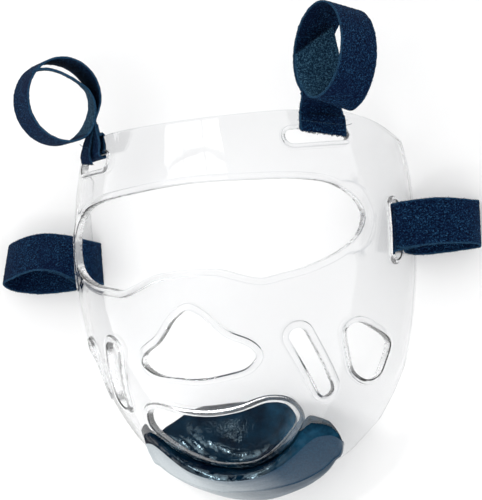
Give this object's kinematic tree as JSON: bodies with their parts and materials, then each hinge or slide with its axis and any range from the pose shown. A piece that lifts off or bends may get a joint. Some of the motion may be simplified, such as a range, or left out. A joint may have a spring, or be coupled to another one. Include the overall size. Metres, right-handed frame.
{
  "type": "taekwondo face mask",
  "caption": "Clear moulded face shell with raised rims round its openings, a dipped-foam chin pad and hook-and-loop straps, lying on its back with the face up.",
  "frame": {"origin": "middle of the box's footprint, on the plane that the shell's rear edges rest on", "axes": "+X across the face to the right as seen from the front, +Y from the chin to the forehead, +Z out of the face"},
  "size_m": [0.2804, 0.2486, 0.0925],
  "materials": {
    "shell": "clear polished polycarbonate with white raised rims",
    "pad": "navy vinyl skin dipped over foam, glossy on top and satin in front",
    "strap": "navy hook-and-loop tape"
  },
  "bodies": {
    "root": {"shell": "shell", "chin_pad": "pad", "strap_top_left": "strap", "strap_top_right": "strap", "strap_side_left": "strap", "strap_side_right": "strap"}
  },
  "joints": []
}
